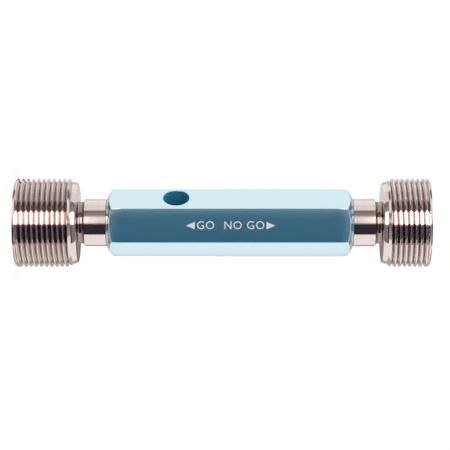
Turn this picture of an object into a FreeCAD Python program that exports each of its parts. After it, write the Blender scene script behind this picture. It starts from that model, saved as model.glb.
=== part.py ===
import FreeCAD, Part
import math
import os

# Double-ended thread plug gauge for an internal 1 7/16-12 UN thread, in millimetres.
# +Z runs along the gauge's axis, from the GO end face at Z = 0 to the NO-GO end face.
# The drift hole of the hexagonal handle runs along Y.
# Three pieces: a handle and two gauging members, whose taper shanks lock in the handle's sockets.

# Major diameters of the 12 threads per inch; each thread is held here as the cylinder over its crests
GO_MAJOR_D = 36.51
NOGO_MAJOR_D = 36.25                # the NO-GO crests are truncated

# Lengths along the axis
GO_LENGTH = 25.7
NECK_LENGTH = 11.9                  # from a member's inner face to the handle, relief groove included
HANDLE_LENGTH = 101.2
NOGO_LENGTH = 19.6

# Gauging members
LEAD_FACE_R = 17.3                  # flat of the outer end face, inside its 45 degree chamfer
LAND_R = 16.9                       # plain land between the thread and the inner face
LAND_LENGTH = 1.95
CREST_RUNOUT = 1.4                  # axial length of the cone from the last crest to the land
LAND_CHAMFER_LENGTH = 1.2
LAND_CHAMFER_DEPTH = 0.5
RELIEF_R = 8.6
RELIEF_FILLET = 1.0
RELIEF_FLAT = 0.74
RELIEF_WALL_ANGLE = math.radians(65.8)
NECK_R = 9.75
NECK_EDGE = 0.25
SHANK_R = 6.35
SHANK_LENGTH = 22.0
SHANK_TAPER = 1 / 48                # on diameter
CENTRE_R = 2.5
CENTRE_PILOT_R = 1.0
CENTRE_DEPTH = 5.5

# Chip groove milled across the first turns of the GO thread
CHIP_CUTTER_R = 8.1
CHIP_CUTTER_WIDTH = 2.4
CHIP_CUTTER_Z = 1.0
CHIP_FLOOR_R = 16.2
CHIP_ANGLE = -115.7                 # degrees about +Z

# Handle
HEX_ACROSS_FLATS = 24.2
HEX_EDGE_R = 0.2
END_FACE_R = 9.9
END_CHAMFER_ANGLE = math.radians(30)
SOCKET_DEPTH = 23.0
PILOT_BORE_R = 6.0
DRIFT_HOLE_R = 5.2
DRIFT_HOLE_OFFSET = 28.7            # from the handle's GO end
DRIFT_HOLE_X = -0.6                 # drilled a little off the flats' middle
DRIFT_HOLE_CHAMFER = 0.25

HANDLE_Z = GO_LENGTH + NECK_LENGTH
HANDLE_TOP_Z = HANDLE_Z + HANDLE_LENGTH
TOTAL_LENGTH = HANDLE_TOP_Z + NECK_LENGTH + NOGO_LENGTH

UP = FreeCAD.Vector(0, 0, 1)
ORIGIN = FreeCAD.Vector(0, 0, 0)


def point(radius, height):
    """Return a point of a turned profile, which is drawn in the XZ plane."""
    return FreeCAD.Vector(radius, 0, height)


def line(start, end):
    """Return a straight edge between two points."""
    return Part.LineSegment(start, end).toShape()


def arc(centre_radius, centre_height, size, start_angle, end_angle):
    """Return an arc of a turned profile, its angles in radians from the outward direction."""
    angles = (start_angle, (start_angle + end_angle) / 2, end_angle)
    points = [point(centre_radius + size * math.cos(a), centre_height + size * math.sin(a)) for a in angles]
    return Part.Arc(*points).toShape()


def chain(points):
    """Return straight edges through the points in order."""
    return [line(start, end) for start, end in zip(points, points[1:])]


def turned(edges):
    """Return the solid turned from a closed profile."""
    wire = Part.Wire(Part.__sortEdges__(edges))
    return Part.Face(wire).revolve(ORIGIN, UP, 360)


def shank_radius(depth):
    """Return the taper's radius at a depth below the handle's end face."""
    return SHANK_R - depth * SHANK_TAPER / 2


def turned_member(length, major_r):
    """Return a turned member with its outer end face at Z = 0 and its shank up."""
    lead_chamfer = major_r - LEAD_FACE_R
    land_start = length - LAND_LENGTH
    outer = chain([
        point(0, 0),
        point(LEAD_FACE_R, 0),
        point(major_r, lead_chamfer),
        point(major_r, land_start - CREST_RUNOUT),
        point(LAND_R, land_start),
        point(LAND_R, length - LAND_CHAMFER_LENGTH),
        point(LAND_R - LAND_CHAMFER_DEPTH, length),
        point(RELIEF_R + RELIEF_FILLET, length),
    ])

    fillet_r = RELIEF_R + RELIEF_FILLET
    lower_z = length + RELIEF_FILLET
    upper_z = lower_z + RELIEF_FLAT
    wall_start = point(
        fillet_r - RELIEF_FILLET * math.cos(RELIEF_WALL_ANGLE),
        upper_z + RELIEF_FILLET * math.sin(RELIEF_WALL_ANGLE),
    )
    wall_rise = (NECK_R - wall_start.x) / math.tan(RELIEF_WALL_ANGLE)
    relief = [
        arc(fillet_r, lower_z, RELIEF_FILLET, -math.pi / 2, -math.pi),
        line(point(RELIEF_R, lower_z), point(RELIEF_R, upper_z)),
        arc(fillet_r, upper_z, RELIEF_FILLET, math.pi, math.pi - RELIEF_WALL_ANGLE),
    ]

    shoulder_z = length + NECK_LENGTH
    shank_end = shoulder_z + SHANK_LENGTH
    neck_and_shank = chain([
        wall_start,
        point(NECK_R, wall_start.z + wall_rise),
        point(NECK_R, shoulder_z - NECK_EDGE),
        point(NECK_R - NECK_EDGE, shoulder_z),
        point(SHANK_R, shoulder_z),
        point(shank_radius(SHANK_LENGTH), shank_end),
        point(0, shank_end),
        point(0, 0),
    ])
    body = turned(outer + relief + neck_and_shank)
    return body.cut([centre_hole(0, 1), centre_hole(shank_end, -1)])


def centre_hole(face_z, inward):
    """Return the 60 degree centre hole drilled in an end face, inward being +1 or -1 along Z."""
    cone_depth = (CENTRE_R - CENTRE_PILOT_R) / math.tan(math.radians(30))
    corners = [
        (0, 0),
        (CENTRE_R, 0),
        (CENTRE_PILOT_R, cone_depth),
        (CENTRE_PILOT_R, CENTRE_DEPTH),
        (0, CENTRE_DEPTH),
    ]
    points = [point(radius, face_z + inward * depth) for radius, depth in corners]
    return turned(chain(points + points[:1]))


def chip_cutter():
    """Return the milling cutter's disc that leaves the chip groove."""
    disc = Part.makeCylinder(
        CHIP_CUTTER_R,
        CHIP_CUTTER_WIDTH,
        FreeCAD.Vector(CHIP_FLOOR_R + CHIP_CUTTER_R, -CHIP_CUTTER_WIDTH / 2, CHIP_CUTTER_Z),
        FreeCAD.Vector(0, 1, 0),
    )
    disc.rotate(ORIGIN, UP, CHIP_ANGLE)
    return disc


def go_member():
    """Return the GO member: long thread with its chip groove, relief groove, neck and taper shank."""
    return turned_member(GO_LENGTH, GO_MAJOR_D / 2).cut(chip_cutter())


def nogo_member():
    """Return the NO-GO member: shorter thread, its outer end face at the top."""
    member = turned_member(NOGO_LENGTH, NOGO_MAJOR_D / 2)
    member.rotate(ORIGIN, FreeCAD.Vector(1, 0, 0), 180)
    member.translate(UP * TOTAL_LENGTH)
    return member


def hexagonal_bar():
    """Return the handle's hexagonal bar with rounded corners and a 30 degree chamfer at each end."""
    corner_r = HEX_ACROSS_FLATS / 2 / math.cos(math.radians(30))
    corners = [
        FreeCAD.Vector(corner_r * math.cos(math.radians(a)), corner_r * math.sin(math.radians(a)), HANDLE_Z)
        for a in range(0, 361, 60)
    ]
    prism = Part.Face(Part.makePolygon(corners)).extrude(UP * HANDLE_LENGTH)
    long_edges = [edge for edge in prism.Edges if abs(edge.tangentAt(edge.FirstParameter).z) > 0.5]
    bar = prism.makeFillet(HEX_EDGE_R, long_edges)

    chamfer_rise = (corner_r - END_FACE_R) * math.tan(END_CHAMFER_ANGLE)
    outline = [
        point(0, HANDLE_Z),
        point(END_FACE_R, HANDLE_Z),
        point(corner_r, HANDLE_Z + chamfer_rise),
        point(corner_r, HANDLE_TOP_Z - chamfer_rise),
        point(END_FACE_R, HANDLE_TOP_Z),
        point(0, HANDLE_TOP_Z),
    ]
    return bar.common(turned(chain(outline + outline[:1])))


def taper_socket(mouth_z, inward):
    """Return the taper reamed into one end of the handle, inward being +1 or -1 along Z."""
    corners = [(0, 0), (SHANK_R, 0), (shank_radius(SOCKET_DEPTH), SOCKET_DEPTH), (0, SOCKET_DEPTH)]
    points = [point(radius, mouth_z + inward * depth) for radius, depth in corners]
    return turned(chain(points + points[:1]))


def drift_hole():
    """Return the cross hole's cutter, chamfered where it leaves each flat."""
    flat = HEX_ACROSS_FLATS / 2
    mouth_r = DRIFT_HOLE_R + DRIFT_HOLE_CHAMFER
    wall_end = flat - DRIFT_HOLE_CHAMFER
    outline = [
        point(0, -flat),
        point(mouth_r, -flat),
        point(DRIFT_HOLE_R, -wall_end),
        point(DRIFT_HOLE_R, wall_end),
        point(mouth_r, flat),
        point(0, flat),
    ]
    cutter = turned(chain(outline + outline[:1]))
    cutter.rotate(ORIGIN, FreeCAD.Vector(1, 0, 0), 90)
    cutter.translate(FreeCAD.Vector(DRIFT_HOLE_X, 0, HANDLE_Z + DRIFT_HOLE_OFFSET))
    return cutter


def handle():
    """Return the handle with its through bore, two taper sockets and the drift hole."""
    bore = Part.makeCylinder(PILOT_BORE_R, HANDLE_LENGTH, UP * HANDLE_Z)
    sockets = [taper_socket(HANDLE_Z, 1), taper_socket(HANDLE_TOP_Z, -1)]
    return hexagonal_bar().cut([bore, drift_hole()] + sockets)


def solid_of(shape):
    """Return the single solid that a shape holds."""
    if len(shape.Solids) != 1:
        raise ValueError(f"expected one solid, found {len(shape.Solids)}")
    return shape.Solids[0]


os.makedirs("parts", exist_ok=True)
for name, build in (("handle", handle), ("go_member", go_member), ("nogo_member", nogo_member)):
    piece = solid_of(build())
    piece.exportStep(f"parts/{name}.step")
    print(f"{name}: {piece.Volume / 1000:.2f} cm3, valid {piece.isValid()}")
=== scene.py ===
import logging
import math
from dataclasses import dataclass, field
from enum import Enum

import bmesh
import bpy
from mathutils import Matrix, Vector


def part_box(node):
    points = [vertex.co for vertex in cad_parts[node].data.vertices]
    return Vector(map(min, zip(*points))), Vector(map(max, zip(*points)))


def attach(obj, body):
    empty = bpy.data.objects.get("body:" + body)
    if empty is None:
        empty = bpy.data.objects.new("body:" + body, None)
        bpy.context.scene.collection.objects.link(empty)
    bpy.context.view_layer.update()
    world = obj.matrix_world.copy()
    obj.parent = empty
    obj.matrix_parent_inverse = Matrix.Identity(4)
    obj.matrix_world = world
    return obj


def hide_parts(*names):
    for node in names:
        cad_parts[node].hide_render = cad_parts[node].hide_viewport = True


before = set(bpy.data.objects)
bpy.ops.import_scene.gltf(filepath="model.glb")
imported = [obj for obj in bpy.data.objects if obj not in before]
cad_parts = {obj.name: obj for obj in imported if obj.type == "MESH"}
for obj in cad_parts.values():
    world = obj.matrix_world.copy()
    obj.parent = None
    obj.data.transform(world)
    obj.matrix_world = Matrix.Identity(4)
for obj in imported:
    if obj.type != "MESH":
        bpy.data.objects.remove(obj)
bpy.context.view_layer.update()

"""Looks of a double-ended thread plug gauge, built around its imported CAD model.

The gauge stands on its GO end. Two ground steel gauging members are locked by their tapers in a blue
anodised hexagonal handle. Every size is in metres, in the CAD model's frame.
"""

MM = 0.001
BODY = "root"
MERGE_DISTANCE = 0.0008 * MM
SLIVER = 0.0005 * MM
LOG = logging.getLogger("thread_plug_gauge")


def linear(hex_colour: str) -> tuple[float, float, float, float]:
    """Turn an sRGB hex colour into linear RGBA.

    Args:
        hex_colour: six hex digits, with or without a leading #.

    Returns:
        The colour's linear components with an alpha of 1.
    """
    digits = hex_colour.lstrip("#")
    parts = [int(digits[i:i + 2], 16) / 255 for i in (0, 2, 4)]
    red, green, blue = (c / 12.92 if c <= 0.04045 else ((c + 0.055) / 1.055) ** 2.4 for c in parts)
    return red, green, blue, 1.0


def add_node(tree: bpy.types.NodeTree, kind: str, inputs: dict | None = None, **settings) -> bpy.types.Node:
    """Add a node to a tree, with its settings and links.

    Args:
        tree: the node tree that gets the node.
        kind: the node's type name.
        inputs: for an input's name or number, a value to set or an output socket to link.
        settings: the node's own properties.

    Returns:
        The new node.
    """
    node = tree.nodes.new(kind)
    for name, value in settings.items():
        setattr(node, name, value)
    for key, value in (inputs or {}).items():
        if isinstance(value, bpy.types.NodeSocket):
            tree.links.new(value, node.inputs[key])
        else:
            node.inputs[key].default_value = value
    return node


def add_object(name: str, mesh: bpy.types.Mesh) -> bpy.types.Object:
    """Link a mesh to the scene as an object at the origin.

    Args:
        name: the object's name.
        mesh: its mesh, already in place in the CAD frame.

    Returns:
        The new object.
    """
    piece = bpy.data.objects.new(name, mesh)
    bpy.context.scene.collection.objects.link(piece)
    return piece


def new_material(name: str) -> tuple[bpy.types.Material, bpy.types.NodeTree]:
    """Start a node material with nothing in it.

    Args:
        name: the material's name.

    Returns:
        The material and its empty node tree.
    """
    material = bpy.data.materials.new(name)
    material.use_nodes = True
    material.node_tree.nodes.clear()
    return material, material.node_tree


class Finish(Enum):
    """The finishes that the gauge's surfaces have."""

    ANODISED = "blue_anodised_aluminium"
    DRILLED = "blue_anodised_bore"
    GROUND = "ground_tool_steel"
    TURNED_WITH_PAINTED_SHADE = "turned_steel_with_painted_shade"
    MARKING = "white_marking_paint"


@dataclass(frozen=True)
class BlueAnodisedAluminium:
    """Drawn 6061 bar, polished and blue anodised.

    The clear oxide lets bright metal mirror the surroundings almost uncoloured, while the dye in it
    scatters a deep blue that shows wherever the surroundings are dark. Along each end chamfer's edge on
    the flats a pale line is painted in: a painted highlight, standing in for the light that edge catches.
    """

    low_end: float
    high_end: float
    end_face_radius: float
    chamfer_angle: float
    metal: str = "#E3F0F0"
    dye: str = "#069BC7"
    dye_share: float = 0.38
    metal_roughness: float = 0.08
    dye_roughness: float = 0.45
    oxide_ior: float = 1.45
    streak_pitch: float = 0.5 * MM
    streak_length: float = 60 * MM
    streak_depth: float = 0.0004 * MM
    painted_highlight: str = "#D6F3F7"
    painted_highlight_width: float = 0.4 * MM
    # the share of its width over which the painted highlight is fully pale
    painted_highlight_core: float = 0.3
    painted_highlight_roughness: float = 0.4
    # a face whose normal leans further along the axis than this belongs to a chamfer, not to a flat
    flat_limit: float = 0.4

    def painted_highlight_share(self, tree: bpy.types.NodeTree, place: bpy.types.NodeSocket) -> bpy.types.NodeSocket:
        """Measure how far the painted highlight along a chamfer's edge shows at a point.

        Args:
            tree: the material's node tree.
            place: the point's object coordinates.

        Returns:
            1 on a flat's edge with a chamfer, falling to 0 the painted highlight's width away.
        """
        level = add_node(tree, "ShaderNodeVectorMath", {0: place, 1: (1, 1, 0)}, operation="MULTIPLY")
        reach = add_node(tree, "ShaderNodeVectorMath", {0: level.outputs[0]}, operation="LENGTH")
        height = add_node(tree, "ShaderNodeSeparateXYZ", {0: place}).outputs["Z"]
        facing = add_node(tree, "ShaderNodeNewGeometry").outputs["True Normal"]
        upward = add_node(tree, "ShaderNodeSeparateXYZ", {0: facing}).outputs["Z"]
        slope = math.tan(math.radians(self.chamfer_angle))
        steps = {}
        for name, operation, first, second in (
            ("out", "SUBTRACT", reach.outputs["Value"], self.end_face_radius),
            ("from_low", "SUBTRACT", height, self.low_end),
            ("from_high", "SUBTRACT", self.high_end, height),
            ("nearest", "MINIMUM", "from_low", "from_high"),
            ("cone", "MULTIPLY", "out", slope),
            ("gap", "SUBTRACT", "nearest", "cone"),
            ("steep", "ABSOLUTE", upward, 0.0),
            ("on_flat", "LESS_THAN", "steep", self.flat_limit),
        ):
            given = {0: steps.get(first, first), 1: steps.get(second, second)}
            steps[name] = add_node(tree, "ShaderNodeMath", given, operation=operation).outputs[0]
        near = add_node(
            tree,
            "ShaderNodeMapRange",
            {
                "Value": steps["gap"],
                "From Min": self.painted_highlight_core * self.painted_highlight_width,
                "From Max": self.painted_highlight_width,
                "To Min": 1.0,
                "To Max": 0.0,
            },
        )
        share = add_node(
            tree, "ShaderNodeMath", {0: near.outputs[0], 1: steps["on_flat"]}, operation="MULTIPLY"
        )
        return share.outputs[0]

    def build(self) -> bpy.types.Material:
        """Make the material.

        Returns:
            The material, which reads object coordinates.
        """
        material, tree = new_material(Finish.ANODISED.value)
        place = add_node(tree, "ShaderNodeTexCoord").outputs["Object"]
        across, along = 1 / self.streak_pitch, 1 / self.streak_length
        stretched = add_node(tree, "ShaderNodeMapping", {"Vector": place, "Scale": (across, across, along)})
        streaks = add_node(
            tree, "ShaderNodeTexNoise", {"Vector": stretched.outputs[0], "Scale": 1.0, "Detail": 3.0}
        )
        bump = add_node(
            tree, "ShaderNodeBump", {"Height": streaks.outputs[0], "Distance": self.streak_depth}
        )
        metal = add_node(
            tree,
            "ShaderNodeBsdfPrincipled",
            {
                "Base Color": linear(self.metal),
                "Metallic": 1.0,
                "Roughness": self.metal_roughness,
                "Normal": bump.outputs[0],
            },
        )
        dye = add_node(
            tree,
            "ShaderNodeBsdfPrincipled",
            {
                "Base Color": linear(self.dye),
                "Roughness": self.dye_roughness,
                "IOR": self.oxide_ior,
                "Normal": bump.outputs[0],
            },
        )
        both = add_node(
            tree, "ShaderNodeMixShader", {0: self.dye_share, 1: metal.outputs[0], 2: dye.outputs[0]}
        )
        # painted highlight: a pale, rough colour standing in for the light caught along each chamfer's edge
        painted_highlight = add_node(
            tree,
            "ShaderNodeBsdfPrincipled",
            {"Base Color": linear(self.painted_highlight), "Roughness": self.painted_highlight_roughness},
        )
        surface = add_node(
            tree,
            "ShaderNodeMixShader",
            {0: self.painted_highlight_share(tree, place), 1: both.outputs[0], 2: painted_highlight.outputs[0]},
        )
        add_node(tree, "ShaderNodeOutputMaterial", {"Surface": surface.outputs[0]})
        return material


@dataclass(frozen=True)
class GrainedSurface:
    """A surface of one colour with a fine, even grain."""

    finish: Finish
    colour: str
    metal_share: float
    roughness: float
    grain: float
    grain_depth: float

    def build(self) -> bpy.types.Material:
        """Make the material.

        Returns:
            The material, which reads object coordinates.
        """
        material, tree = new_material(self.finish.value)
        place = add_node(tree, "ShaderNodeTexCoord").outputs["Object"]
        specks = add_node(
            tree, "ShaderNodeTexNoise", {"Vector": place, "Scale": 1 / self.grain, "Detail": 2.0}
        )
        bump = add_node(
            tree, "ShaderNodeBump", {"Height": specks.outputs[0], "Distance": self.grain_depth}
        )
        surface = add_node(
            tree,
            "ShaderNodeBsdfPrincipled",
            {
                "Base Color": linear(self.colour),
                "Metallic": self.metal_share,
                "Roughness": self.roughness,
                "Normal": bump.outputs[0],
            },
        )
        add_node(tree, "ShaderNodeOutputMaterial", {"Surface": surface.outputs[0]})
        return material


@dataclass(frozen=True)
class BlueAnodisedBore(GrainedSurface):
    """The handle's drilled and bored walls, blue anodised over fine tool marks.

    Most of the light is scattered by the dye and the rest mirrored by the metal, coloured at every
    bounce inside a hole, so the walls look a deeper teal than the flats.
    """

    finish: Finish = Finish.DRILLED
    colour: str = "#4DB0CC"
    metal_share: float = 0.35
    roughness: float = 0.3
    grain: float = 0.6 * MM
    grain_depth: float = 0.003 * MM


@dataclass(frozen=True)
class MarkingPaint(GrainedSurface):
    """White epoxy ink, screen printed: flat, opaque and a little rough."""

    finish: Finish = Finish.MARKING
    colour: str = "#F4F7F7"
    metal_share: float = 0.0
    roughness: float = 0.55
    grain: float = 0.15 * MM
    grain_depth: float = 0.004 * MM


@dataclass(frozen=True)
class GroundToolSteel:
    """Hardened tool steel, ground all over between centres.

    Fine rings run round the axis, so highlights are sharp round the piece and slightly spread along it.
    """

    finish: Finish = Finish.GROUND
    colour: str = "#CFC4C1"
    dark_colour: str = "#C6BAB7"
    roughness: float = 0.07
    # real rings are finer than this; drawn coarser so that they can be seen
    ring_pitch: float = 0.8 * MM
    ring_reach: float = 25 * MM
    ring_depth: float = 0.0006 * MM

    def build(self) -> bpy.types.Material:
        """Make the material.

        Returns:
            The material, which reads object coordinates.
        """
        material, tree = new_material(self.finish.value)
        place = add_node(tree, "ShaderNodeTexCoord").outputs["Object"]
        flat = add_node(tree, "ShaderNodeVectorMath", {0: place, 1: (1, 1, 0)}, operation="MULTIPLY")
        radius = add_node(tree, "ShaderNodeVectorMath", {0: flat.outputs[0]}, operation="LENGTH")
        lift = add_node(tree, "ShaderNodeCombineXYZ", {"Z": radius.outputs["Value"]})
        moved = add_node(tree, "ShaderNodeVectorMath", {0: place, 1: lift.outputs[0]}, operation="ADD")
        round_it, across_it = 1 / self.ring_reach, 1 / self.ring_pitch
        stretched = add_node(
            tree, "ShaderNodeMapping", {"Vector": moved.outputs[0], "Scale": (round_it, round_it, across_it)}
        )
        rings = add_node(
            tree, "ShaderNodeTexNoise", {"Vector": stretched.outputs[0], "Scale": 1.0, "Detail": 1.0}
        )
        tone = add_node(
            tree,
            "ShaderNodeMix",
            {"Factor": rings.outputs[0], 6: linear(self.dark_colour), 7: linear(self.colour)},
            data_type="RGBA",
        )
        bump = add_node(tree, "ShaderNodeBump", {"Height": rings.outputs[0], "Distance": self.ring_depth})
        steel = add_node(
            tree,
            "ShaderNodeBsdfPrincipled",
            {
                "Base Color": tone.outputs[2],
                "Metallic": 1.0,
                "Roughness": self.roughness,
                "Normal": bump.outputs[0],
            },
        )
        add_node(tree, "ShaderNodeOutputMaterial", {"Surface": steel.outputs[0]})
        return material


@dataclass(frozen=True)
class TurnedSteelWithPaintedShade(GroundToolSteel):
    """The relief groove's skin, turned before hardening and not ground since.

    A thin brown heat-treatment film makes it duller than the ground surfaces; its darker colour is partly
    that film and partly painted shade for the inside of the groove.
    """

    finish: Finish = Finish.TURNED_WITH_PAINTED_SHADE
    # darker colour: partly the turned skin's own, partly painted shade for the inside of the groove
    colour: str = "#978B85"
    dark_colour: str = "#84776F"
    roughness: float = 0.12
    ring_pitch: float = 0.35 * MM
    ring_depth: float = 0.0008 * MM


@dataclass
class HelicalThread:
    """Geometry Nodes tree that makes a ground Unified thread between its end face and its plain land.

    The rows of its grid follow the helix, so crests, flanks and roots keep clean edges. Heights run from
    the member's outer end face.
    """

    pitch: float
    major_radius: float
    pitch_radius: float
    face_radius: float
    land_radius: float
    length: float
    runout: float
    phase: float
    slot_half_width: float = 0.06 * MM
    slot_wall: float = 0.06 * MM
    slot_depth: float = 0.3 * MM
    crest_rounding: float = 0.16 * MM
    crest_lead: float = 0.125 * MM
    start_length: float = 1.05 * MM
    start_slope: float = 2.5
    lead_rounding: float = 0.3 * MM
    columns: int = 200
    rows_per_turn: int = 20
    slot_floor_share: float = 0.2
    slot_share: float = 0.3
    crest_share: float = 0.6

    def sizes(self) -> dict[str, float]:
        """Work out the tree's named inputs.

        Returns:
            Each input's name and value in metres, or a plain slope.
        """
        slope = 1 / math.tan(math.radians(30))
        root_radius = self.pitch_radius - (self.pitch / 4 - self.slot_half_width) * slope
        crest_start = self.slot_half_width + (self.major_radius - root_radius) / slope - self.crest_lead
        return {
            "Pitch": self.pitch,
            "Major Radius": self.major_radius,
            "Root Radius": root_radius,
            "Slot Bottom Radius": root_radius - self.slot_depth,
            "Slot Wall Radius": root_radius - self.slot_wall,
            "Slot Wall": self.slot_wall,
            "Flank Width": crest_start - self.slot_half_width,
            "Crest Half Width": self.pitch / 2 - crest_start,
            "Slot Half Width": self.slot_half_width,
            "Flank Slope": slope,
            "Crest Rounding": self.crest_rounding,
            "End Face Radius": self.face_radius,
            "Start Radius": self.major_radius + self.start_slope * self.start_length,
            "Lead Rounding": self.lead_rounding,
            "Land Radius": self.land_radius,
            "Length": self.length,
            "Runout": self.runout,
            "Phase": self.phase % self.pitch - 2 * self.pitch,
        }

    def steps(self) -> tuple[tuple, ...]:
        """Set out the sums that place a point of the grid on the thread.

        Returns:
            For each sum its name, its operation and its values: numbers, inputs or earlier sums. A RANGE
            takes a value, the range it runs over and the range it becomes.
        """
        floor_share, slot_share, crest_share = self.slot_floor_share, self.slot_share, self.crest_share
        return (
            # Within one pitch: 0 at a groove's middle and 1 at the crest's middle on either side of it
            ("nearest", "ROUND", "row"),
            ("offset", "SUBTRACT", "row", "nearest"),
            ("side", "SIGN", "offset"),
            ("distance", "ABSOLUTE", "offset"),
            ("share", "MULTIPLY", "distance", 2.0),
            # Distance along the axis from the groove's middle
            ("slot width", "RANGE", "share", 0.0, floor_share, 0.0, "Slot Half Width"),
            ("flank width", "RANGE", "share", slot_share, crest_share, 0.0, "Flank Width"),
            ("crest width", "RANGE", "share", crest_share, 1.0, 0.0, "Crest Half Width"),
            ("slot and flank", "ADD", "slot width", "flank width"),
            ("width", "ADD", "slot and flank", "crest width"),
            # Radius: a narrow pointed slot at the root, then the straight flank, rounded into the crest
            ("slot side", "RANGE", "share", 0.0, floor_share, "Slot Bottom Radius", "Slot Wall Radius"),
            ("slot wall", "RANGE", "share", floor_share, slot_share, 0.0, "Slot Wall"),
            ("slot", "ADD", "slot side", "slot wall"),
            ("past slot", "SUBTRACT", "width", "Slot Half Width"),
            ("flank", "MULTIPLY_ADD", "past slot", "Flank Slope", "Root Radius"),
            ("crest", "SMOOTH_MIN", "flank", "Major Radius", "Crest Rounding"),
            ("above root", "MAXIMUM", "crest", "Root Radius"),
            ("rise", "SUBTRACT", "above root", "Root Radius"),
            ("thread radius", "ADD", "rise", "slot"),
            # Height: the groove's middle, then the offset to either side, cut off at both ends
            ("climbed", "ADD", "nearest", "turn"),
            ("middle", "MULTIPLY_ADD", "climbed", "Pitch", "Phase"),
            ("free", "MULTIPLY_ADD", "side", "width", "middle"),
            ("above face", "MAXIMUM", "free", 0.0),
            ("height", "MINIMUM", "above face", "Length"),
            # Blunt start: no groove reaches the end face, whose edge is chamfered and slightly rounded
            ("start floor", "MULTIPLY_ADD", "height", -self.start_slope, "Start Radius"),
            ("started", "MAXIMUM", "thread radius", "start floor"),
            ("capped", "MINIMUM", "started", "Major Radius"),
            ("lead", "ADD", "height", "End Face Radius"),
            ("chamfered", "SMOOTH_MIN", "capped", "lead", "Lead Rounding"),
            # Runout: a cone cuts the last crests down to the land, and the land's own cone fills the grooves
            ("run start", "SUBTRACT", "Length", "Runout"),
            ("runout", "RANGE", "height", "run start", "Length", "Major Radius", "Land Radius"),
            ("run out", "MINIMUM", "chamfered", "runout"),
            ("to end", "SUBTRACT", "Length", "height"),
            ("land floor", "SUBTRACT", "Land Radius", "to end"),
            ("radius", "MAXIMUM", "run out", "land floor"),
            # Round the axis
            ("angle", "MULTIPLY", "turn", math.tau),
            ("cosine", "COSINE", "angle"),
            ("sine", "SINE", "angle"),
            ("x", "MULTIPLY", "cosine", "radius"),
            ("y", "MULTIPLY", "sine", "radius"),
        )

    def tree(self, turns: int) -> bpy.types.NodeTree:
        """Build the node tree.

        Args:
            turns: how many pitches the grid spans, the ones cut off at both ends included.

        Returns:
            The node tree, with a named input for each size and one for the material.
        """
        tree = bpy.data.node_groups.new("helical_thread", "GeometryNodeTree")
        tree.interface.new_socket("Geometry", in_out="OUTPUT", socket_type="NodeSocketGeometry")
        tree.interface.new_socket("Geometry", in_out="INPUT", socket_type="NodeSocketGeometry")
        for name in self.sizes():
            tree.interface.new_socket(name, in_out="INPUT", socket_type="NodeSocketFloat")
        tree.interface.new_socket("Material", in_out="INPUT", socket_type="NodeSocketMaterial")
        given = add_node(tree, "NodeGroupInput").outputs

        grid = add_node(
            tree,
            "GeometryNodeMeshGrid",
            {
                "Size X": 1.0,
                "Size Y": float(turns),
                "Vertices X": self.columns + 1,
                "Vertices Y": turns * self.rows_per_turn + 1,
            },
        )
        place = add_node(tree, "GeometryNodeInputPosition").outputs[0]
        centred = add_node(
            tree, "ShaderNodeVectorMath", {0: place, 1: (0.5, turns / 2, 0.0)}, operation="ADD"
        ).outputs[0]
        split = add_node(tree, "ShaderNodeSeparateXYZ", {0: centred}).outputs
        known = {socket.name: socket for socket in given} | {"turn": split[0], "row": split[1]}
        for name, operation, *values in self.steps():
            inputs = {number: known.get(value, value) for number, value in enumerate(values)}
            if operation == "RANGE":
                node = add_node(tree, "ShaderNodeMapRange", inputs)
            else:
                node = add_node(tree, "ShaderNodeMath", inputs, operation=operation)
            known[name] = node.outputs[0]
        point = add_node(tree, "ShaderNodeCombineXYZ", {0: known["x"], 1: known["y"], 2: known["height"]})
        wrapped = add_node(
            tree,
            "GeometryNodeSetPosition",
            {"Geometry": grid.outputs["Mesh"], "Position": point.outputs[0]},
        )
        closed = add_node(
            tree, "GeometryNodeMergeByDistance", {"Geometry": wrapped.outputs[0], "Distance": SLIVER}
        )
        real = add_node(tree, "GeometryNodeRealizeInstances", {0: closed.outputs[0]})
        dressed = add_node(
            tree, "GeometryNodeSetMaterial", {"Geometry": real.outputs[0], "Material": given["Material"]}
        )
        add_node(tree, "NodeGroupOutput", {0: dressed.outputs[0]})
        return tree

    def mesh(self, material: bpy.types.Material) -> bpy.types.Mesh:
        """Run the tree and return its plain mesh.

        Args:
            material: the thread's finish.

        Returns:
            An open tube of thread, its outer end at height 0.
        """
        turns = math.ceil(self.length / self.pitch) + 3
        tree = self.tree(turns)
        carrier = add_object("thread_carrier", bpy.data.meshes.new("thread_carrier"))
        modifier = carrier.modifiers.new("thread", "NODES")
        modifier.node_group = tree
        values = self.sizes() | {"Material": material}
        for item in tree.interface.items_tree:
            if item.in_out == "INPUT" and item.name in values:
                modifier[item.identifier] = values[item.name]
        bpy.context.view_layer.update()
        evaluated = carrier.evaluated_get(bpy.context.evaluated_depsgraph_get())
        mesh = bpy.data.meshes.new_from_object(evaluated)
        carrier.modifiers.remove(modifier)
        bpy.data.objects.remove(carrier)
        return mesh


Profile = list[tuple[float, float]]


def arc(centre: tuple[float, float], radius: float, start: float, end: float, steps: int = 8) -> Profile:
    """Return points along an arc of a turned profile.

    Args:
        centre: the arc's centre as radius and height.
        radius: the arc's radius.
        start: its first angle in degrees, from the outward direction.
        end: its last angle in degrees.
        steps: how many straight steps stand for it.

    Returns:
        The arc's points, both ends included.
    """
    angles = [math.radians(start + (end - start) * i / steps) for i in range(steps + 1)]
    return [(centre[0] + radius * math.cos(a), centre[1] + radius * math.sin(a)) for a in angles]


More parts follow.
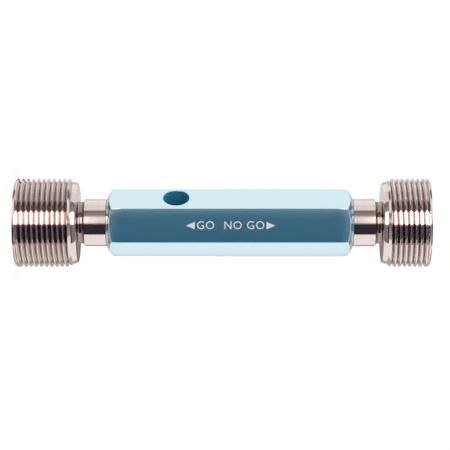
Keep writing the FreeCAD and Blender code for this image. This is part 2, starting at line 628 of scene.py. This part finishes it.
def lathe(shape: bmesh.types.BMesh, profile: Profile, columns: int) -> None:
    """Turn a profile about the Z axis into faces.

    Args:
        shape: the mesh that gets the faces.
        profile: radius and height of each point, in order.
        columns: how many faces go round.
    """
    rings = []
    for radius, height in profile:
        if radius == 0:
            rings.append([shape.verts.new((0, 0, height))] * columns)
            continue
        angles = [math.tau * i / columns for i in range(columns)]
        rings.append([shape.verts.new((radius * math.cos(a), radius * math.sin(a), height)) for a in angles])
    for low, high in zip(rings, rings[1:]):
        for i in range(columns):
            following = (i + 1) % columns
            corners = [low[i], low[following], high[following], high[i]]
            shape.faces.new(list(dict.fromkeys(corners)))


def finish_mesh(shape: bmesh.types.BMesh, name: str, smooth_angle: float) -> bpy.types.Mesh:
    """Clean a shape's faces and turn it into a mesh with smooth surfaces between sharp edges.

    Args:
        shape: the bmesh, which is freed.
        name: the mesh's name.
        smooth_angle: edges turning by more than this many degrees stay sharp.

    Returns:
        The mesh.
    """
    bmesh.ops.remove_doubles(shape, verts=shape.verts, dist=MERGE_DISTANCE)
    bmesh.ops.dissolve_degenerate(shape, edges=shape.edges, dist=SLIVER)
    bmesh.ops.recalc_face_normals(shape, faces=shape.faces)
    limit = math.radians(smooth_angle)
    for face in shape.faces:
        face.smooth = True
    for edge in shape.edges:
        edge.smooth = len(edge.link_faces) == 2 and edge.calc_face_angle() < limit
    mesh = bpy.data.meshes.new(name)
    shape.to_mesh(mesh)
    shape.free()
    return mesh


def cut(piece: bpy.types.Object, cutter: bpy.types.Object, smooth_angle: float) -> None:
    """Cut one object out of another and remove the cutter.

    Args:
        piece: the object that is cut; its mesh is replaced.
        cutter: a closed object, which is removed.
        smooth_angle: edges turning by more than this many degrees are sharp.
    """
    modifier = piece.modifiers.new("cut", "BOOLEAN")
    modifier.operation = "DIFFERENCE"
    modifier.solver = "MANIFOLD"
    modifier.object = cutter
    bpy.context.view_layer.update()
    evaluated = piece.evaluated_get(bpy.context.evaluated_depsgraph_get())
    shape = bmesh.new()
    shape.from_mesh(evaluated.to_mesh())
    evaluated.to_mesh_clear()
    piece.modifiers.remove(modifier)
    piece.data = finish_mesh(shape, piece.name, smooth_angle)
    bpy.data.objects.remove(cutter)


@dataclass
class GaugingMember:
    """One steel gauging member: thread, plain land, relief groove, neck and taper shank.

    It is made with its outer end face at height 0 and its shank up, then placed on the gauge. The groove
    height is that of the middle of a thread groove on the gauge's +X side.
    """

    name: str
    node: str
    length: float
    major_radius: float
    pitch_radius: float
    groove_height: float
    chip_groove: bool
    at_top: bool
    pitch: float = 25.4 / 12 * MM
    face_radius: float = 17.3 * MM
    land_radius: float = 16.9 * MM
    land_length: float = 1.95 * MM
    runout: float = 1.4 * MM
    land_chamfer_length: float = 1.2 * MM
    land_chamfer_depth: float = 0.5 * MM
    relief_radius: float = 8.6 * MM
    relief_fillet: float = 1.0 * MM
    relief_flat: float = 0.74 * MM
    relief_wall_angle: float = 65.8
    neck_radius: float = 9.75 * MM
    neck_edge: float = 0.25 * MM
    neck_length: float = 11.9 * MM
    shank_radius: float = 6.35 * MM
    shank_length: float = 22.0 * MM
    shank_taper: float = 1 / 48
    centre_radius: float = 2.5 * MM
    centre_pilot: float = 1.0 * MM
    centre_depth: float = 5.5 * MM
    smooth_angle: float = 26.0

    def centre_hole(self) -> Profile:
        """Draw the 60 degree centre hole.

        Returns:
            Its profile from its bottom to the face, each point a radius and a depth.
        """
        cone_depth = (self.centre_radius - self.centre_pilot) / math.tan(math.radians(30))
        return [
            (0, self.centre_depth),
            (self.centre_pilot, self.centre_depth),
            (self.centre_pilot, cone_depth),
            (self.centre_radius, 0),
        ]

    def inner_profile(self) -> Profile:
        """Draw everything inward of the thread.

        Returns:
            The profile from the thread's land to the middle of the shank's end.
        """
        top = self.length
        fillet = self.relief_fillet
        centre_r = self.relief_radius + fillet
        upper = top + fillet + self.relief_flat
        wall = arc((centre_r, upper), fillet, 180, 180 - self.relief_wall_angle)
        rise = (self.neck_radius - wall[-1][0]) / math.tan(math.radians(self.relief_wall_angle))
        shoulder = top + self.neck_length
        shank_end = shoulder + self.shank_length
        tip_radius = self.shank_radius - self.shank_length * self.shank_taper / 2
        return [
            (self.land_radius, top - self.land_length),
            (self.land_radius, top - self.land_chamfer_length),
            (self.land_radius - self.land_chamfer_depth, top),
            *arc((centre_r, top + fillet), fillet, 270, 180),
            *wall,
            (self.neck_radius, wall[-1][1] + rise),
            (self.neck_radius, shoulder - self.neck_edge),
            (self.neck_radius - self.neck_edge, shoulder),
            (self.shank_radius, shoulder),
            (tip_radius, shank_end),
            *[(radius, shank_end - depth) for radius, depth in reversed(self.centre_hole())],
        ]

    def build(self, material: bpy.types.Material, groove_shade_material: bpy.types.Material) -> bpy.types.Object:
        """Make the member's mesh and put it in its place.

        Args:
            material: its finish.
            groove_shade_material: the finish of its relief groove, whose darker colour is partly painted
                shade.

        Returns:
            The member as one closed mesh object.
        """
        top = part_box(self.node)[1].z
        phase = top - self.groove_height if self.at_top else self.groove_height
        thread = HelicalThread(
            self.pitch,
            self.major_radius,
            self.pitch_radius,
            self.face_radius,
            self.land_radius,
            self.length - self.land_length,
            self.runout,
            phase,
        )
        shape = bmesh.new()
        shape.from_mesh(thread.mesh(material))
        lathe(shape, self.centre_hole() + [(self.face_radius, 0)], thread.columns)
        lathe(shape, self.inner_profile(), thread.columns)
        member = add_object(self.name, finish_mesh(shape, self.name, self.smooth_angle))
        if self.chip_groove:
            cut(member, ChipCutter().build(), self.smooth_angle)
        member.data.materials.clear()
        for finish in (material, groove_shade_material):
            member.data.materials.append(finish)
        # the groove's skin, whose darker colour is partly painted shade, lies between the member's inner
        # face and a little past its sloping wall
        groove_start = self.length + 0.01 * MM
        groove_end = self.length + 3 * self.relief_fillet
        for face in member.data.polygons:
            radius = math.hypot(face.center.x, face.center.y)
            in_shaded_groove = groove_start < face.center.z < groove_end and radius < self.neck_radius
            face.material_index = int(in_shaded_groove)
        if self.at_top:
            member.data.transform(Matrix.Translation((0, 0, top)) @ Matrix.Rotation(math.pi, 4, "X"))
        return member

    def dress(self, member: bpy.types.Object) -> None:
        """Put the member on the gauge in place of its CAD node.

        Args:
            member: the finished member.
        """
        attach(member, BODY)
        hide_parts(self.node)
        LOG.info("%s: %d faces", member.name, len(member.data.polygons))


@dataclass
class ChipCutter:
    """The thin milling cutter whose path across the first turns leaves the GO thread's chip groove."""

    radius: float = 8.1 * MM
    width: float = 2.4 * MM
    height: float = 1.0 * MM
    floor_radius: float = 16.2 * MM
    angle: float = -115.7
    columns: int = 96

    def build(self) -> bpy.types.Object:
        """Make the cutter's disc where it cuts.

        Returns:
            The disc as a closed object.
        """
        shape = bmesh.new()
        half = self.width / 2
        lathe(shape, [(0, -half), (self.radius, -half), (self.radius, half), (0, half)], self.columns)
        upright = Matrix.Rotation(math.pi / 2, 4, "X")
        lift = Matrix.Translation((self.floor_radius + self.radius, 0, self.height))
        turn = Matrix.Rotation(math.radians(self.angle), 4, "Z")
        bmesh.ops.transform(shape, matrix=turn @ lift @ upright, verts=shape.verts)
        return add_object("chip_cutter", finish_mesh(shape, "chip_cutter", 30))


@dataclass
class HexHandle:
    """The hexagonal handle, its flats very slightly rounded towards their edges by polishing."""

    name: str = "hex_handle"
    node: str = "handle"
    across_flats: float = 24.2 * MM
    edge_radius: float = 0.2 * MM
    edge_steps: int = 4
    crown_width: float = 3.4 * MM
    crown_tilt: float = 2.0
    flat_steps: int = 12
    rows: int = 56
    end_face_radius: float = 9.9 * MM
    chamfer_angle: float = 30.0
    end_crown_length: float = 5.0 * MM
    end_crown_tilt: float = 3.0
    bore_radius: float = 6.0 * MM
    mouth_radius: float = 6.35 * MM
    socket_depth: float = 23.0 * MM
    socket_taper: float = 1 / 48
    drift_radius: float = 5.2 * MM
    drift_chamfer: float = 0.25 * MM
    drift_x: float = -0.6 * MM
    drift_offset: float = 28.7 * MM
    drift_columns: int = 96
    drift_overrun: float = 1.0 * MM
    chamfer_steps: int = 4
    end_steps: int = 8
    smooth_angle: float = 18.0

    def ends(self) -> tuple[float, float]:
        """Return the heights of the handle's two end faces."""
        low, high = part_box(self.node)
        return low.z, high.z

    def flat_section(self) -> Profile:
        """Draw one crowned flat and the rounded edge at one side of it.

        Returns:
            Points from the flat's far side to half way round the edge, as across and out distances.
        """
        half = (self.across_flats / 2 - self.edge_radius) * math.tan(math.radians(30))
        slope = math.tan(math.radians(self.crown_tilt))
        points = []
        for i in range(self.flat_steps + 1):
            # denser towards the edges, where the crown is
            across = half * math.sin(math.pi * (i / self.flat_steps - 0.5))
            inside = max(0.0, abs(across) - (half - self.crown_width))
            drop = slope * inside ** 2 / (2 * self.crown_width)
            points.append((across, self.across_flats / 2 - drop))
        drop = slope * self.crown_width / 2
        edge_centre = (half, self.across_flats / 2 - self.edge_radius - drop)
        start = 90 - self.crown_tilt
        for i in range(1, self.edge_steps + 1):
            angle = math.radians(start + (60 - start) * i / self.edge_steps)
            points.append((
                edge_centre[0] + self.edge_radius * math.cos(angle),
                edge_centre[1] + self.edge_radius * math.sin(angle),
            ))
        return points

    def section(self) -> list[Vector]:
        """Draw the whole crowned hexagon.

        Returns:
            Its points in order round the axis.
        """
        half_edge = self.flat_section()
        mirrored = [(-across, out) for across, out in reversed(half_edge[self.flat_steps + 1:])]
        outline = []
        for side in range(6):
            turn = Matrix.Rotation(math.radians(60 * side), 2)
            for across, out in (mirrored + half_edge)[:-1]:
                outline.append(turn @ Vector((-across, out)))
        return outline

    def build(self, material: bpy.types.Material, bore_material: bpy.types.Material) -> bpy.types.Object:
        """Make the handle's mesh, with its bore and drift hole.

        Args:
            material: its finish.
            bore_material: the finish of the walls of its holes.

        Returns:
            The handle as one closed mesh object.
        """
        low, high = self.ends()
        rise = math.tan(math.radians(self.chamfer_angle))
        end_slope = math.tan(math.radians(self.end_crown_tilt))
        socket_end = self.mouth_radius - self.socket_depth * self.socket_taper / 2
        socket = [
            (self.bore_radius, self.socket_depth),
            (socket_end, self.socket_depth),
            (self.mouth_radius, 0.0),
            (self.end_face_radius, 0.0),
        ]
        shape = bmesh.new()
        columns = []
        for point in self.section():
            radius = point.length
            crease = (radius - self.end_face_radius) * rise
            end = list(socket)
            for step in range(1, self.chamfer_steps):
                share = step / self.chamfer_steps
                end.append((self.end_face_radius + (radius - self.end_face_radius) * share, crease * share))
            for step in range(self.end_steps + 1):
                inside = self.end_crown_length * (1 - step / self.end_steps)
                drop = end_slope * inside ** 2 / (2 * self.end_crown_length)
                end.append((radius - drop, crease + self.end_crown_length - inside))
            column = [(r, low + h) for r, h in end]
            column += self.between(column[-1], (radius, low + high - column[-1][1]))
            column += [(r, high - h) for r, h in reversed(end)]
            column += self.between(column[-1], column[0])
            direction = Vector((point.x, point.y, 0)) / radius
            columns.append([shape.verts.new(direction * r + Vector((0, 0, z))) for r, z in column])
        for first, second in zip(columns, columns[1:] + columns[:1]):
            loop = list(zip(first, second))
            for (a, b), (c, d) in zip(loop, loop[1:] + loop[:1]):
                shape.faces.new((a, b, d, c))
        handle = add_object(self.name, finish_mesh(shape, self.name, self.smooth_angle))
        hole_height = low + self.drift_offset
        cut(handle, self.drift_cutter(hole_height), self.smooth_angle)
        handle.data.materials.clear()
        for finish in (material, bore_material):
            handle.data.materials.append(finish)
        mouth = self.drift_radius + self.drift_chamfer
        for face in handle.data.polygons:
            in_hole = math.hypot(face.center.x - self.drift_x, face.center.z - hole_height) < mouth
            in_bore = math.hypot(face.center.x, face.center.y) < self.mouth_radius
            face.material_index = int(in_hole or in_bore)
        return handle

    def between(self, start: tuple[float, float], end: tuple[float, float]) -> Profile:
        """Divide the stretch between two points of a column.

        Args:
            start: the first point, a radius and a height.
            end: the last point.

        Returns:
            The rows' points between them, neither end included.
        """
        shares = [i / self.rows for i in range(1, self.rows)]
        return [(start[0] + (end[0] - start[0]) * s, start[1] + (end[1] - start[1]) * s) for s in shares]

    def drift_cutter(self, height: float) -> bpy.types.Object:
        """Make the drift hole's drill, with a countersink at each flat.

        Args:
            height: the hole's height on the gauge.

        Returns:
            The drill as a closed object.
        """
        flat = self.across_flats / 2
        wall_end = flat - self.drift_chamfer
        beyond = self.drift_overrun
        mouth = self.drift_radius + self.drift_chamfer + beyond
        half = [(self.drift_radius, wall_end), (mouth, flat + beyond)]
        profile = [(0, -flat - beyond)] + [(r, -h) for r, h in reversed(half)] + half + [(0, flat + beyond)]
        shape = bmesh.new()
        lathe(shape, profile, self.drift_columns)
        place = Matrix.Translation((self.drift_x, 0, height)) @ Matrix.Rotation(math.pi / 2, 4, "X")
        bmesh.ops.transform(shape, matrix=place, verts=shape.verts)
        return add_object("drift_drill", finish_mesh(shape, "drift_drill", 30))

    def dress(self, handle: bpy.types.Object) -> None:
        """Put the handle on the gauge in place of its CAD node.

        Args:
            handle: the finished handle.
        """
        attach(handle, BODY)
        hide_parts(self.node)
        LOG.info("%s: %d faces", handle.name, len(handle.data.polygons))


@dataclass
class HandleMarking:
    """The plain GO and NO GO marking on the flat beside the drift hole, with an arrow to each end."""

    name: str = "handle_marking"
    flat_angle: float = -30.0
    flat_distance: float = 12.1 * MM
    thickness: float = 0.02 * MM
    letter_height: float = 4.6 * MM
    letter_spacing: float = 1.1
    centre_height: float = 88.6 * MM
    gap: float = 1.8 * MM
    arrow_length: float = 3.6 * MM
    arrow_half_width: float = 1.5 * MM

    def word(self, text: str, align: str, start: float) -> bpy.types.Mesh:
        """Make one word as a flat mesh.

        Args:
            text: the letters.
            align: LEFT or RIGHT.
            start: where along the flat it starts or ends.

        Returns:
            The word's mesh, drawn in the XY plane with X along the flat.
        """
        letters = bpy.data.curves.new("letters", "FONT")
        letters.body = text
        letters.size = self.letter_height
        letters.align_x = align
        letters.align_y = "CENTER"
        letters.space_character = self.letter_spacing
        carrier = bpy.data.objects.new("letters", letters)
        bpy.context.scene.collection.objects.link(carrier)
        bpy.context.view_layer.update()
        mesh = bpy.data.meshes.new_from_object(carrier.evaluated_get(bpy.context.evaluated_depsgraph_get()))
        bpy.data.objects.remove(carrier)
        mesh.transform(Matrix.Translation((start, 0, 0)))
        return mesh

    def build(self, material: bpy.types.Material) -> bpy.types.Object:
        """Make the marking just proud of the flat.

        Args:
            material: its finish.

        Returns:
            The marking as one thin mesh object.
        """
        shape = bmesh.new()
        shape.from_mesh(self.word("GO", "RIGHT", -self.gap))
        shape.from_mesh(self.word("NO GO", "LEFT", self.gap))
        along_flat = [v.co.x for v in shape.verts]
        for side, end in ((-1, min(along_flat)), (1, max(along_flat))):
            tail = end + side * self.gap / 2
            tip = tail + side * self.arrow_length
            corners = [(tip, 0), (tail, self.arrow_half_width), (tail, -self.arrow_half_width)]
            shape.faces.new([shape.verts.new((x, y, 0)) for x, y in corners])
        middle = (max(along_flat) + min(along_flat)) / 2
        bmesh.ops.translate(shape, verts=shape.verts, vec=(-middle, 0, 0))
        bmesh.ops.remove_doubles(shape, verts=shape.verts, dist=0.01 * MM)
        bmesh.ops.recalc_face_normals(shape, faces=shape.faces)
        sheet = bmesh.ops.extrude_face_region(shape, geom=shape.faces[:])
        raised = [v for v in sheet["geom"] if isinstance(v, bmesh.types.BMVert)]
        bmesh.ops.translate(shape, verts=raised, vec=(0, 0, self.thickness))
        along = Vector((0, 0, 1))
        out = Vector((math.cos(math.radians(self.flat_angle)), math.sin(math.radians(self.flat_angle)), 0))
        up = out.cross(along)
        turn = Matrix((along, up, out)).transposed().to_4x4()
        place = Matrix.Translation(out * self.flat_distance + along * self.centre_height)
        bmesh.ops.transform(shape, matrix=place @ turn, verts=shape.verts)
        marking = add_object(self.name, finish_mesh(shape, self.name, 30))
        marking.data.materials.append(material)
        return marking

    def dress(self, marking: bpy.types.Object) -> None:
        """Put the marking on the handle.

        Args:
            marking: the finished marking.
        """
        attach(marking, BODY)
        LOG.info("%s: %d faces", marking.name, len(marking.data.polygons))


@dataclass(frozen=True)
class Board:
    """A board or light panel of the studio, seen only in reflections.

    Its place is an angle round the gauge from the camera's side, positive towards the picture's top,
    and a lean towards either end of the gauge, positive towards the NO-GO end, all in degrees.
    """

    start: float
    end: float
    colour: str
    strength: float = 1.0
    low: float = -95.0
    high: float = 95.0
    softness: float = 1.5
    end_softness: float = 1.0
    both_ends: bool = False

    def leans(self) -> list[tuple[float, float]]:
        """Return the leans that the board spans, one range for each end of the gauge it stands at."""
        spans = [(self.low, self.high)]
        return [(-self.high, -self.low)] + spans if self.both_ends else spans


@dataclass
class Studio:
    """White light tent with boards in it, a floor and the camera.

    The tent lights the gauge evenly. Polished metal mirrors the tent's own tone and its boards, which
    stand in pairs beside the gauge's two ends where the threads' flanks and the chamfers mirror them.

    The gauge stands upright; the camera is level and rolled a quarter turn, so that the GO end is at
    the left of the picture.
    """

    camera_angle: float = -35.7
    camera_distance: float = 825 * MM
    camera_height: float = 93.6 * MM
    aim_height: float = 86.2 * MM
    aim_drop: float = 0.95 * MM
    lens: float = 160.0
    floor_radius: float = 6.0
    floor_tone: float = 0.35
    floor_glow: float = 0.7
    tent_strength: float = 1.35
    boards: tuple[Board, ...] = field(default_factory=lambda: (
        Board(-184, -137, "#CFC7C4", softness=7),
        Board(140, 184, "#EDE7E4", softness=7),
        Board(-181, -173, "#8F827C", low=-12, high=12, softness=0.3, end_softness=4),
        Board(173, 181, "#E4DCD8", low=-12, high=12, softness=0.3, end_softness=4),
        Board(50, 100, "#FFFFFF", 1.16, softness=10),
        Board(46, 62, "#A0918C"),
        Board(20, 47, "#AFA5A1", softness=2),
        Board(-60, 10, "#9A949A", softness=1.2),
        Board(-60, 10, "#3D3741", low=-9.5, high=8, softness=1.2, end_softness=4),
        Board(-3, 30, "#FBF7F5", softness=10),
        Board(-4, 30, "#FFFAF8", 6.0, low=-30, high=-5.05, end_softness=0.12),
        Board(-4, 30, "#FFFAF8", 6.0, low=4.3, high=30, end_softness=0.12),
        Board(7, 58, "#9A8C86", low=33, high=48, softness=4, end_softness=3, both_ends=True),
        Board(-8, 42, "#FFFAF8", 6.0, low=-72, high=-63, softness=3, end_softness=1),
        Board(-8, 42, "#FFFAF8", 6.0, low=-55.3, high=-48, softness=3, end_softness=0.5),
        Board(-8, 42, "#FFFAF8", 6.0, low=48, high=54.8, softness=3, end_softness=0.5),
        Board(-8, 42, "#FFFAF8", 6.0, low=62, high=72, softness=3, end_softness=1),
        Board(100, 168, "#8A8D90", low=40, high=56, softness=6, end_softness=3, both_ends=True),
        Board(-88, -55, "#B9B0B2", low=62, high=95, softness=5, end_softness=3, both_ends=True),
        Board(-158, -112, "#3A3238", low=58, high=95, softness=4, end_softness=3, both_ends=True),
    ))

    def camera_side(self) -> Vector:
        """Return the level direction from the gauge to the camera."""
        angle = math.radians(self.camera_angle)
        return Vector((math.cos(angle), math.sin(angle), 0))

    def picture_up(self) -> Vector:
        """Return the direction that is up in the picture."""
        return self.camera_side().cross(Vector((0, 0, 1)))

    def build_camera(self) -> None:
        """Make the camera and make it the scene's."""
        back_side, up = self.camera_side(), self.picture_up()
        place = back_side * self.camera_distance + Vector((0, 0, self.camera_height))
        target = Vector((0, 0, self.aim_height)) - up * self.aim_drop
        back = (place - target).normalized()
        right = Vector((0, 0, 1)) - back * back.z
        right.normalize()
        axes = Matrix((right, back.cross(right), back)).transposed()
        data = bpy.data.cameras.new("camera")
        data.lens = self.lens
        data.clip_start = 0.01
        camera = bpy.data.objects.new("camera", data)
        camera.matrix_world = Matrix.Translation(place) @ axes.to_4x4()
        bpy.context.scene.collection.objects.link(camera)
        bpy.context.scene.camera = camera

    def build_world(self) -> None:
        """Make the white tent and its boards, which only mirror reflections see."""
        world = bpy.data.worlds.new("studio")
        bpy.context.scene.world = world
        world.use_nodes = True
        tree = world.node_tree
        tree.nodes.clear()
        direction = add_node(tree, "ShaderNodeTexCoord").outputs["Generated"]
        shares = []
        for axis in (self.picture_up(), self.camera_side()):
            dot = add_node(tree, "ShaderNodeVectorMath", {0: direction, 1: axis}, operation="DOT_PRODUCT")
            shares.append(dot.outputs["Value"])
        around = add_node(tree, "ShaderNodeMath", dict(enumerate(shares)), operation="ARCTAN2").outputs[0]
        degrees = add_node(tree, "ShaderNodeMath", {0: around}, operation="DEGREES").outputs[0]
        upward = add_node(tree, "ShaderNodeSeparateXYZ", {0: direction}).outputs[2]
        leaning = add_node(tree, "ShaderNodeMath", {0: upward}, operation="ARCSINE").outputs[0]
        lean = add_node(tree, "ShaderNodeMath", {0: leaning}, operation="DEGREES").outputs[0]
        tone = add_node(tree, "ShaderNodeCombineColor", {i: self.tent_strength for i in range(3)}).outputs[0]
        for board, (low, high) in [(board, span) for board in self.boards for span in board.leans()]:
            covers = []
            for value, start, end, soft in (
                (degrees, board.start, board.end, board.softness),
                (lean, low, high, board.end_softness),
            ):
                middle, half = (start + end) / 2, (end - start) / 2
                off = add_node(tree, "ShaderNodeMath", {0: value, 1: middle}, operation="SUBTRACT")
                away = add_node(tree, "ShaderNodeMath", {0: off.outputs[0]}, operation="ABSOLUTE")
                covers.append(add_node(
                    tree,
                    "ShaderNodeMapRange",
                    {0: away.outputs[0], "From Min": half - soft, "From Max": half + soft, 3: 1.0, 4: 0.0},
                    interpolation_type="SMOOTHSTEP",
                ).outputs[0])
            cover = add_node(tree, "ShaderNodeMath", dict(enumerate(covers)), operation="MULTIPLY")
            colour = [part * board.strength for part in linear(board.colour)[:3]] + [1.0]
            mixed = add_node(
                tree, "ShaderNodeMix", {"Factor": cover.outputs[0], 6: tone, 7: colour}, data_type="RGBA"
            )
            tone = mixed.outputs[2]
        reflected = add_node(tree, "ShaderNodeLightPath").outputs["Is Glossy Ray"]
        white = (1.0, 1.0, 1.0, 1.0)
        seen = add_node(tree, "ShaderNodeMix", {"Factor": reflected, 6: white, 7: tone}, data_type="RGBA")
        light = add_node(tree, "ShaderNodeBackground", {"Color": seen.outputs[2], "Strength": 1.0})
        add_node(tree, "ShaderNodeOutputWorld", {"Surface": light.outputs[0]})

    def build_floor(self) -> None:
        """Make the pale floor, which keeps the gauge's soft shadow and shows white to the camera."""
        shape = bmesh.new()
        bmesh.ops.create_circle(shape, cap_ends=True, radius=self.floor_radius, segments=96)
        floor = add_object("floor", finish_mesh(shape, "floor", 30))
        material, tree = new_material("floor_paper")
        paper = add_node(tree, "ShaderNodeBsdfDiffuse", {"Color": (*[self.floor_tone] * 3, 1.0)})
        glow = add_node(tree, "ShaderNodeEmission", {"Color": (*[self.floor_glow] * 3, 1.0)})
        none = add_node(tree, "ShaderNodeEmission", {"Strength": 0.0})
        seen = add_node(tree, "ShaderNodeLightPath").outputs["Is Camera Ray"]
        extra = add_node(tree, "ShaderNodeMixShader", {0: seen, 1: none.outputs[0], 2: glow.outputs[0]})
        both = add_node(tree, "ShaderNodeAddShader", {0: paper.outputs[0], 1: extra.outputs[0]})
        add_node(tree, "ShaderNodeOutputMaterial", {"Surface": both.outputs[0]})
        floor.data.materials.append(material)
        floor.visible_glossy = False

    def build(self) -> None:
        """Make the whole studio."""
        self.build_camera()
        self.build_world()
        self.build_floor()
        bpy.context.scene.view_settings.view_transform = "Standard"


def main() -> None:
    """Build the studio and the gauge, piece by piece."""
    logging.basicConfig(level=logging.INFO, format="%(name)s: %(message)s")
    Studio().build()
    handle = HexHandle()
    low, high = handle.ends()
    anodised = BlueAnodisedAluminium(low, high, handle.end_face_radius, handle.chamfer_angle).build()
    ground = GroundToolSteel().build()
    # the relief groove's finish, its darker colour partly painted shade
    turned = TurnedSteelWithPaintedShade().build()
    ink = MarkingPaint().build()
    handle.dress(handle.build(anodised, BlueAnodisedBore().build()))
    marking = HandleMarking()
    marking.dress(marking.build(ink))
    members = (
        GaugingMember(
            name="go_plug",
            node="go_member",
            length=25.7 * MM,
            major_radius=18.255 * MM,
            pitch_radius=17.57 * MM,
            groove_height=2.81 * MM,
            chip_groove=True,
            at_top=False,
        ),
        GaugingMember(
            name="nogo_plug",
            node="nogo_member",
            length=19.6 * MM,
            major_radius=18.125 * MM,
            pitch_radius=17.665 * MM,
            groove_height=154.61 * MM,
            chip_groove=False,
            at_top=True,
        ),
    )
    for member in members:
        member.dress(member.build(ground, turned))


if __name__ == "__main__":
    main()
